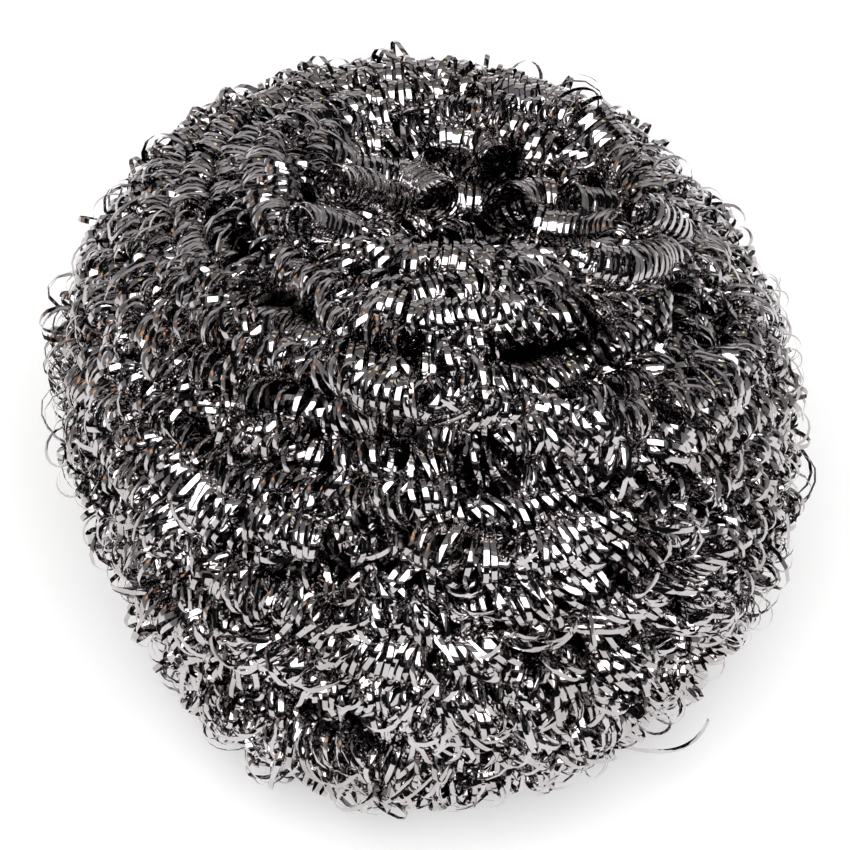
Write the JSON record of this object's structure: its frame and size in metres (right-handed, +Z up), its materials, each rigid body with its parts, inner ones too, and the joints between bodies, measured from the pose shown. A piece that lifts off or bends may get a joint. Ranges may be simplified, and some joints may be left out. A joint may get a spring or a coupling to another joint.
{
  "type": "stainless steel scourer",
  "caption": "Stainless steel scourer: a springy coil of flat steel ribbon wound round and round into a soft round wad with a sunken bowl on top, for scrubbing pans.",
  "frame": {"origin": "middle of the flattened base, on the surface that the wad rests on", "axes": "+Z up along the axis that the coil is wound round, +X to the right and -Y towards a viewer in front"},
  "size_m": [0.0787, 0.0804, 0.0606],
  "materials": {
    "stainless_ribbon": "bright rolled stainless ribbon"
  },
  "bodies": {
    "root": {"coil_wad": "stainless_ribbon"}
  },
  "joints": []
}
